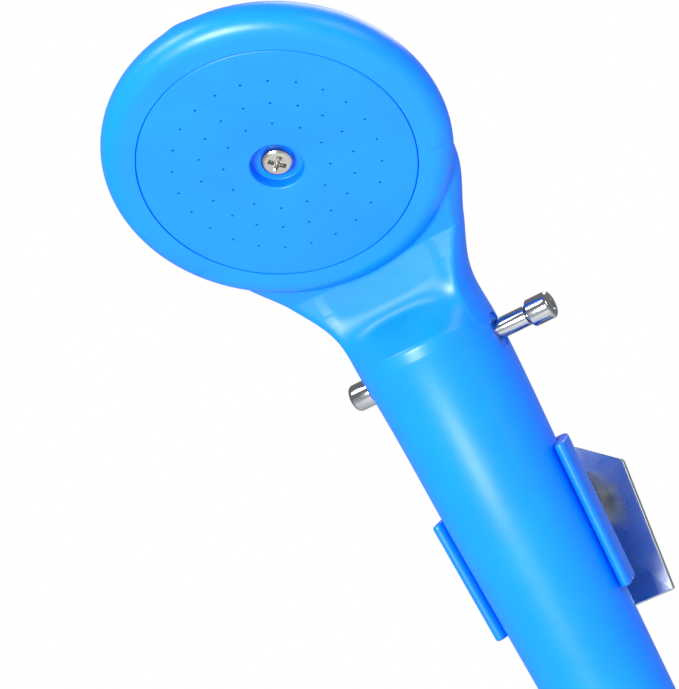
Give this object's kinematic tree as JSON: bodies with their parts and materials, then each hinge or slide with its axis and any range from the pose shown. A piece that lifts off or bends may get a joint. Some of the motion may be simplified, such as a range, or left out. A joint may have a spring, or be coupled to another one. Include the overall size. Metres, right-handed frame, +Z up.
{
  "type": "shower spray handset with wall cradle",
  "caption": "Hand-held spray handset of a portable pump shower, with a push-rod stop valve, resting in a tilting wall cradle.",
  "frame": {"origin": "on the wall face of the cradle's plate, midway between its two screw holes", "axes": "+Z up, +Y into the wall, +X to the right of someone facing the wall; the handset leans 20 degrees away from the wall at rest"},
  "size_m": [0.0648, 0.1108, 0.1516],
  "materials": {
    "blue_plastic": "satin-gloss azure blue moulded plastic",
    "blue_plastic_plate": "satin azure blue moulded plastic with fine jets",
    "blue_plastic_clip": "satin-gloss azure blue moulded plastic",
    "black_rubber": "soft black sealing rubber",
    "plated_screw": "bright nickel plating",
    "insert_brass": "turned brass",
    "white_plastic": "natural white acetal",
    "chrome_rod": "bright chrome plating on turned metal",
    "chrome_nipple": "chrome plating over brass",
    "strainer_steel": "pressed stainless steel",
    "polished_steel": "polished stainless sheet with fine rolling lines",
    "plated_nut": "nickel plating over turned brass",
    "fibre": "red-brown vulcanised fibre"
  },
  "bodies": {
    "wall": {"wall_bracket": "polished_steel", "pivot_bolt": "plated_screw", "lock_washer": "polished_steel", "friction_washers": "fibre"},
    "nut": {"pivot_nut": "plated_nut"},
    "cradle": {"holder_clip": "blue_plastic_clip"},
    "handset": {"handset_shell": "blue_plastic", "spray_plate": "blue_plastic_plate", "plate_seal": "black_rubber", "plate_screw": "plated_screw", "screw_insert": "insert_brass", "valve_sleeve": "white_plastic", "sleeve_seals": "black_rubber", "rod_bush_left": "blue_plastic", "rod_bush_right": "blue_plastic", "inlet_nipple": "chrome_nipple", "nipple_seal": "black_rubber", "inlet_strainer": "strainer_steel"},
    "rod": {"stop_rod": "chrome_rod", "rod_knob": "chrome_rod", "rod_seals": "black_rubber"}
  },
  "joints": [
    {"name": "cradle_tilt", "type": "hinge", "parent": "wall", "child": "cradle", "pos_m": [0, -0.0105, 0.0066], "axis": [1, 0, 0], "range_deg": [-30, 2]},
    {"name": "nut_turn", "type": "hinge", "parent": "wall", "child": "nut", "pos_m": [-0.0099, -0.0105, 0.0066], "axis": [-1, 0, 0], "range_deg": [-360, 0]},
    {"name": "handset_lift", "type": "slide", "parent": "cradle", "child": "handset", "axis": [0, -0.342, 0.9397], "range_m": [0, 0.072]},
    {"name": "stop_rod_push", "type": "slide", "parent": "handset", "child": "rod", "axis": [-1, 0, 0], "range_m": [0, 0.006]}
  ]
}
